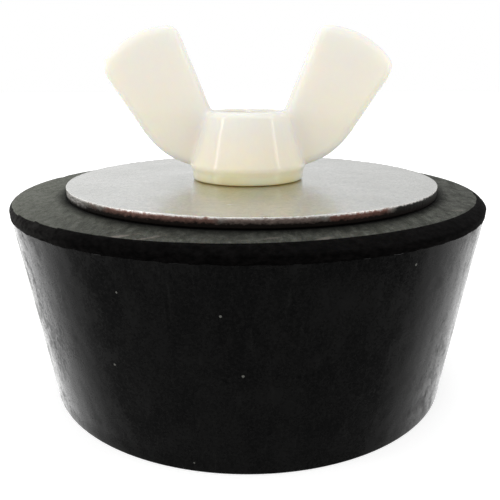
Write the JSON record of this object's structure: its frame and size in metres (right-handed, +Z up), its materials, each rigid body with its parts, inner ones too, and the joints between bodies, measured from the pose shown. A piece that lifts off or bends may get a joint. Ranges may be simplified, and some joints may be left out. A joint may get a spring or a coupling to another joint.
{
  "type": "rubber expansion plug",
  "caption": "Tapered rubber expansion plug squeezed between two steel washers by a nylon wing nut on a carriage bolt, for sealing a pipe end.",
  "frame": {"origin": "on the plug's axis, in the plane of the rubber's bottom rim", "axes": "+Z up the bolt towards the wing nut; the wings lie along X"},
  "size_m": [0.064, 0.064, 0.0487],
  "materials": {
    "rubber": "moulded black rubber, satin, scuffed, with pale sheen along its sides",
    "bolt_steel": "plated steel with rolled thread",
    "bottom_washer_steel": "stamped steel, satin",
    "top_washer_steel": "stamped steel, satin, with a bright rough upper edge and small pits",
    "nylon": "moulded natural nylon, glossy, ivory and slightly translucent"
  },
  "bodies": {
    "root": {"rubber_stopper": "rubber", "carriage_bolt": "bolt_steel", "bottom_washer": "bottom_washer_steel"},
    "washer": {"top_washer": "top_washer_steel"},
    "nut": {"wing_nut": "nylon"}
  },
  "joints": [
    {"name": "washer_press", "type": "slide", "parent": "root", "child": "washer", "axis": [0, 0, -1], "range_m": [0, 0.00317], "deforming": ["rubber_stopper"]},
    {"name": "wing_nut_spin", "type": "hinge", "parent": "washer", "child": "nut", "pos_m": [0, 0, 0.03304], "axis": [0, 0, 1], "range_deg": [-720, 0]}
  ],
  "couplings": [
    {"joint": "wing_nut_spin", "follows": "washer_press", "rad_per_m": -3957.9}
  ]
}
